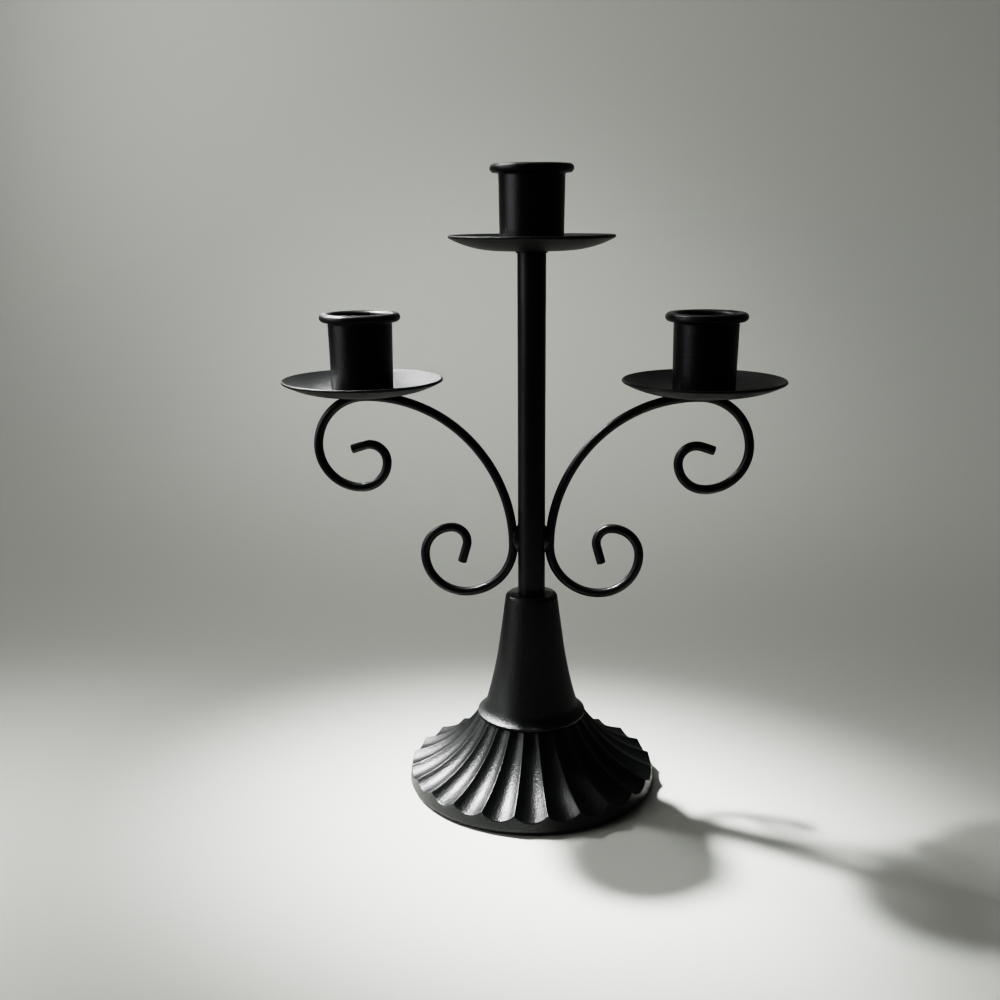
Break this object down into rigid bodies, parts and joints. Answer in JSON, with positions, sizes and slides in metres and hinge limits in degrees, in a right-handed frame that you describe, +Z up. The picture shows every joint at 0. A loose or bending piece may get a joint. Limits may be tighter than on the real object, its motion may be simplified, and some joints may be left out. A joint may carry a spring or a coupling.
{
  "type": "candelabra",
  "caption": "Table candelabra: fluted round foot, bell-shaped neck, slim post and scrolled wire arms that carry drip pans and screw-on candle cups.",
  "frame": {"origin": "on the floor under the post, at the centre of the foot", "axes": "+Z up the post, +X along the right arm, -Y to the viewer"},
  "size_m": [0.2048, 0.108, 0.2608],
  "materials": {
    "coated_casting": "matte black powder coat on a casting",
    "coated_steel": "matte black powder coat on steel",
    "zinc_steel": "zinc plated",
    "felt": "pressed wool felt"
  },
  "bodies": {
    "root": {"base_felt": "felt", "base_skirt": "coated_casting", "base_bell": "coated_casting", "post_tube": "coated_steel", "post_cap": "coated_steel", "tie_rod": "zinc_steel", "rod_washer": "zinc_steel", "rod_lock_washer": "zinc_steel", "rod_nut": "zinc_steel", "left_scroll": "coated_steel", "right_scroll": "coated_steel", "left_weld": "coated_steel", "right_weld": "coated_steel", "left_stud": "zinc_steel", "right_stud": "zinc_steel"},
    "left_pan": {"left_drip_pan": "coated_steel"},
    "left_cup": {"left_candle_cup": "coated_steel"},
    "centre_pan": {"centre_drip_pan": "coated_steel"},
    "centre_cup": {"centre_candle_cup": "coated_steel"},
    "right_pan": {"right_drip_pan": "coated_steel"},
    "right_cup": {"right_candle_cup": "coated_steel"}
  },
  "joints": [
    {"name": "left_cup_turn", "type": "hinge", "parent": "root", "child": "left_pan", "pos_m": [-0.0694, 0, 0.17205], "axis": [0, 0, 1], "range_deg": [0, 2520]},
    {"name": "left_cup_rise", "type": "slide", "parent": "left_pan", "child": "left_cup", "axis": [0, 0, 1], "range_m": [0, 0.0056]},
    {"name": "centre_cup_turn", "type": "hinge", "parent": "root", "child": "centre_pan", "pos_m": [0, 0, 0.2284], "axis": [0, 0, 1], "range_deg": [0, 2520]},
    {"name": "centre_cup_rise", "type": "slide", "parent": "centre_pan", "child": "centre_cup", "axis": [0, 0, 1], "range_m": [0, 0.0056]},
    {"name": "right_cup_turn", "type": "hinge", "parent": "root", "child": "right_pan", "pos_m": [0.0694, 0, 0.17205], "axis": [0, 0, 1], "range_deg": [0, 2520]},
    {"name": "right_cup_rise", "type": "slide", "parent": "right_pan", "child": "right_cup", "axis": [0, 0, 1], "range_m": [0, 0.0056]}
  ],
  "couplings": [
    {"joint": "left_cup_rise", "follows": "left_cup_turn", "m_per_rad": 0.00012732},
    {"joint": "centre_cup_rise", "follows": "centre_cup_turn", "m_per_rad": 0.00012732},
    {"joint": "right_cup_rise", "follows": "right_cup_turn", "m_per_rad": 0.00012732}
  ]
}
